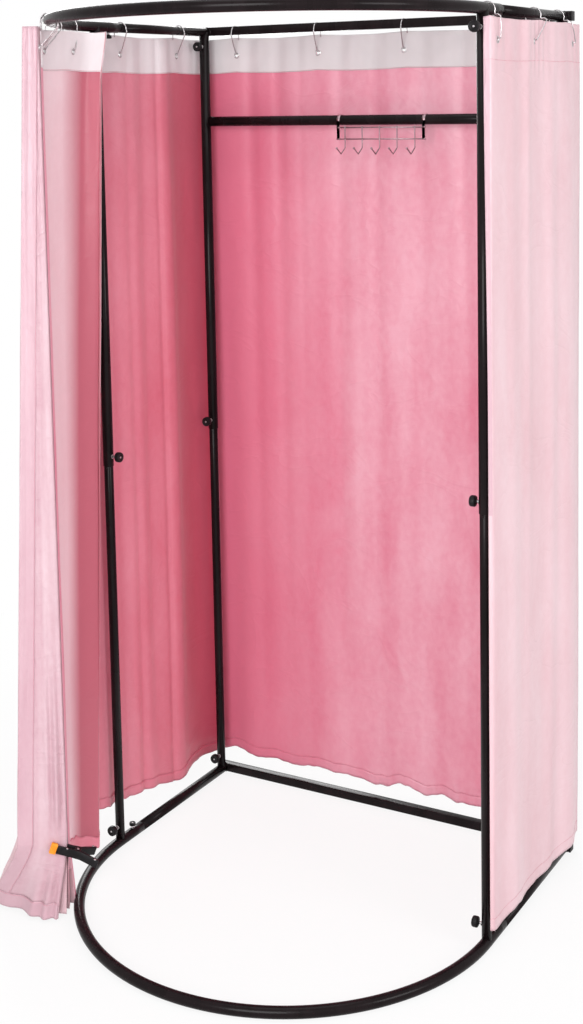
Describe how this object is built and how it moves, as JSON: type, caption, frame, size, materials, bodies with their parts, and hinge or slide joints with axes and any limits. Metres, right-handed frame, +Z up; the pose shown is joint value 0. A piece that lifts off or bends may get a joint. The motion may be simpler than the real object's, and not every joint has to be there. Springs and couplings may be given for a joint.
{
  "type": "portable fitting room",
  "caption": "Free-standing D-shaped tube frame hung with satin curtains, with a clothes rail, a hook rack, height locks and a curtain that draws across the front.",
  "frame": {"origin": "middle of the base back bar's underside, on the floor", "axes": "+X to the right seen from the open front, +Y towards the back, +Z up"},
  "size_m": [1.1412, 1.0128, 2.008],
  "materials": {
    "black_paint": "gloss black paint on steel tube",
    "black_plastic": "moulded black plastic",
    "bright_wire": "bright plated wire",
    "pink_satin": "soft pink satin with a white header",
    "orange_plastic": "orange rubbery plastic"
  },
  "bodies": {
    "base": {"base_rear_frame": "black_paint", "base_front_hoop": "black_paint", "lower_post_back_left": "black_paint", "lower_post_back_right": "black_paint", "lower_post_front_left": "black_paint", "lower_post_front_right": "black_paint", "base_end_plug_left": "black_plastic", "base_end_plug_right": "black_plastic"},
    "top": {"top_rear_frame": "black_paint", "top_front_hoop": "black_paint", "upper_post_back_left": "black_paint", "upper_post_back_right": "black_paint", "upper_post_front_left": "black_paint", "upper_post_front_right": "black_paint", "top_end_plug_left": "black_plastic", "top_end_plug_right": "black_plastic", "clothes_rail": "black_paint", "curtain_left": "pink_satin", "curtain_back": "pink_satin", "curtain_right": "pink_satin", "curtain_hook_left_1": "bright_wire", "curtain_hook_left_2": "bright_wire", "curtain_hook_turn_1": "bright_wire", "curtain_hook_turn_2": "bright_wire", "curtain_hook_back_1": "bright_wire", "curtain_hook_back_2": "bright_wire", "curtain_hook_back_3": "bright_wire", "curtain_hook_right_1": "bright_wire", "curtain_hook_right_2": "bright_wire", "curtain_hook_right_3": "bright_wire"},
    "rack": {"hook_rack": "bright_wire"},
    "clamp_jaw": {"clamp_front_arm": "black_plastic", "clamp_front_pad": "orange_plastic"},
    "leading_pleat": {"curtain_pleat_4": "pink_satin", "curtain_hook_pleat_4": "bright_wire", "clamp_rear_arm": "black_plastic", "clamp_rear_pad": "orange_plastic", "clamp_pin": "bright_wire"},
    "pleat_1": {"curtain_pleat_1": "pink_satin", "curtain_hook_pleat_1": "bright_wire"},
    "pleat_2": {"curtain_pleat_2": "pink_satin", "curtain_hook_pleat_2": "bright_wire"},
    "pleat_3": {"curtain_pleat_3": "pink_satin", "curtain_hook_pleat_3": "bright_wire"},
    "bottom_knob_back_left": {"bottom_knob_back_left": "black_plastic"},
    "bottom_knob_back_right": {"bottom_knob_back_right": "black_plastic"},
    "bottom_knob_front_left": {"bottom_knob_front_left": "black_plastic"},
    "bottom_knob_front_right": {"bottom_knob_front_right": "black_plastic"},
    "middle_knob_back_left": {"middle_knob_back_left": "black_plastic"},
    "middle_knob_back_right": {"middle_knob_back_right": "black_plastic"},
    "middle_knob_front_left": {"middle_knob_front_left": "black_plastic"},
    "middle_knob_front_right": {"middle_knob_front_right": "black_plastic"},
    "top_knob_back_left": {"top_knob_back_left": "black_plastic"},
    "top_knob_back_right": {"top_knob_back_right": "black_plastic"},
    "top_knob_front_left": {"top_knob_front_left": "black_plastic"},
    "top_knob_front_right": {"top_knob_front_right": "black_plastic"},
    "base_lock_knob_left": {"base_lock_knob_left": "black_plastic"},
    "top_lock_knob_left": {"top_lock_knob_left": "black_plastic"},
    "base_lock_knob_right": {"base_lock_knob_right": "black_plastic"},
    "top_lock_knob_right": {"top_lock_knob_right": "black_plastic"}
  },
  "joints": [
    {"name": "height_slide", "type": "slide", "parent": "base", "child": "top", "axis": [0, 0, 1], "range_m": [0, 0.1]},
    {"name": "curtain_draw", "type": "hinge", "parent": "top", "child": "leading_pleat", "pos_m": [0, -0.487, 1.9], "axis": [0, 0, 1], "range_deg": [0, 132]},
    {"name": "rack_slide", "type": "slide", "parent": "top", "child": "rack", "axis": [1, 0, 0], "range_m": [-0.362, 0.308]},
    {"name": "clamp_jaw_hinge", "type": "hinge", "parent": "leading_pleat", "child": "clamp_jaw", "pos_m": [-0.35985, -0.81083, 0.159], "axis": [0.2713, 0.2342, 0.9336], "range_deg": [0, 18], "stiffness_Nm_per_rad": 0.6, "springref_deg": -20.05},
    {"name": "pleat_1_draw", "type": "hinge", "parent": "top", "child": "pleat_1", "pos_m": [0, -0.487, 1.9], "axis": [0, 0, 1], "range_deg": [0, 15.1]},
    {"name": "pleat_2_draw", "type": "hinge", "parent": "top", "child": "pleat_2", "pos_m": [0, -0.487, 1.9], "axis": [0, 0, 1], "range_deg": [0, 66.1]},
    {"name": "pleat_3_draw", "type": "hinge", "parent": "top", "child": "pleat_3", "pos_m": [0, -0.487, 1.9], "axis": [0, 0, 1], "range_deg": [0, 117.2]},
    {"name": "bottom_knob_back_left_turn", "type": "hinge", "parent": "base", "child": "bottom_knob_back_left", "pos_m": [-0.4825, -0.025, 0.052], "axis": [0, -1, 0], "continuous": true},
    {"name": "bottom_knob_back_right_turn", "type": "hinge", "parent": "base", "child": "bottom_knob_back_right", "pos_m": [0.4825, -0.025, 0.052], "axis": [0, -1, 0], "continuous": true},
    {"name": "bottom_knob_front_left_turn", "type": "hinge", "parent": "base", "child": "bottom_knob_front_left", "pos_m": [-0.4825, -0.487, 0.052], "axis": [0, -1, 0], "continuous": true},
    {"name": "bottom_knob_front_right_turn", "type": "hinge", "parent": "base", "child": "bottom_knob_front_right", "pos_m": [0.4825, -0.487, 0.052], "axis": [-1, 0, 0], "continuous": true},
    {"name": "middle_knob_back_left_turn", "type": "hinge", "parent": "top", "child": "middle_knob_back_left", "pos_m": [-0.4825, -0.025, 0.975], "axis": [0, -1, 0], "continuous": true},
    {"name": "middle_knob_back_right_turn", "type": "hinge", "parent": "top", "child": "middle_knob_back_right", "pos_m": [0.4825, -0.025, 0.975], "axis": [0, -1, 0], "continuous": true},
    {"name": "middle_knob_front_left_turn", "type": "hinge", "parent": "top", "child": "middle_knob_front_left", "pos_m": [-0.4825, -0.487, 0.975], "axis": [1, 0, 0], "continuous": true},
    {"name": "middle_knob_front_right_turn", "type": "hinge", "parent": "top", "child": "middle_knob_front_right", "pos_m": [0.4825, -0.487, 0.975], "axis": [-1, 0, 0], "continuous": true},
    {"name": "top_knob_back_left_turn", "type": "hinge", "parent": "top", "child": "top_knob_back_left", "pos_m": [-0.4825, -0.025, 1.95], "axis": [0, -1, 0], "continuous": true},
    {"name": "top_knob_back_right_turn", "type": "hinge", "parent": "top", "child": "top_knob_back_right", "pos_m": [0.4825, -0.025, 1.95], "axis": [0, -1, 0], "continuous": true},
    {"name": "top_knob_front_left_turn", "type": "hinge", "parent": "top", "child": "top_knob_front_left", "pos_m": [-0.4825, -0.487, 1.95], "axis": [0, -1, 0], "continuous": true},
    {"name": "top_knob_front_right_turn", "type": "hinge", "parent": "top", "child": "top_knob_front_right", "pos_m": [0.4825, -0.487, 1.95], "axis": [0, -1, 0], "continuous": true},
    {"name": "base_lock_knob_left_turn", "type": "hinge", "parent": "base", "child": "base_lock_knob_left", "pos_m": [-0.4825, -0.436, 0.0125], "axis": [0, 0, 1], "continuous": true},
    {"name": "top_lock_knob_left_turn", "type": "hinge", "parent": "top", "child": "top_lock_knob_left", "pos_m": [-0.4825, -0.436, 1.9875], "axis": [0, 0, -1], "continuous": true},
    {"name": "base_lock_knob_right_turn", "type": "hinge", "parent": "base", "child": "base_lock_knob_right", "pos_m": [0.4825, -0.436, 0.0125], "axis": [0, 0, 1], "continuous": true},
    {"name": "top_lock_knob_right_turn", "type": "hinge", "parent": "top", "child": "top_lock_knob_right", "pos_m": [0.4825, -0.436, 1.9875], "axis": [0, 0, -1], "continuous": true}
  ],
  "couplings": [
    {"joint": "pleat_1_draw", "follows": "curtain_draw", "ratio": 0.1129},
    {"joint": "pleat_2_draw", "follows": "curtain_draw", "ratio": 0.5},
    {"joint": "pleat_3_draw", "follows": "curtain_draw", "ratio": 0.8871}
  ]
}
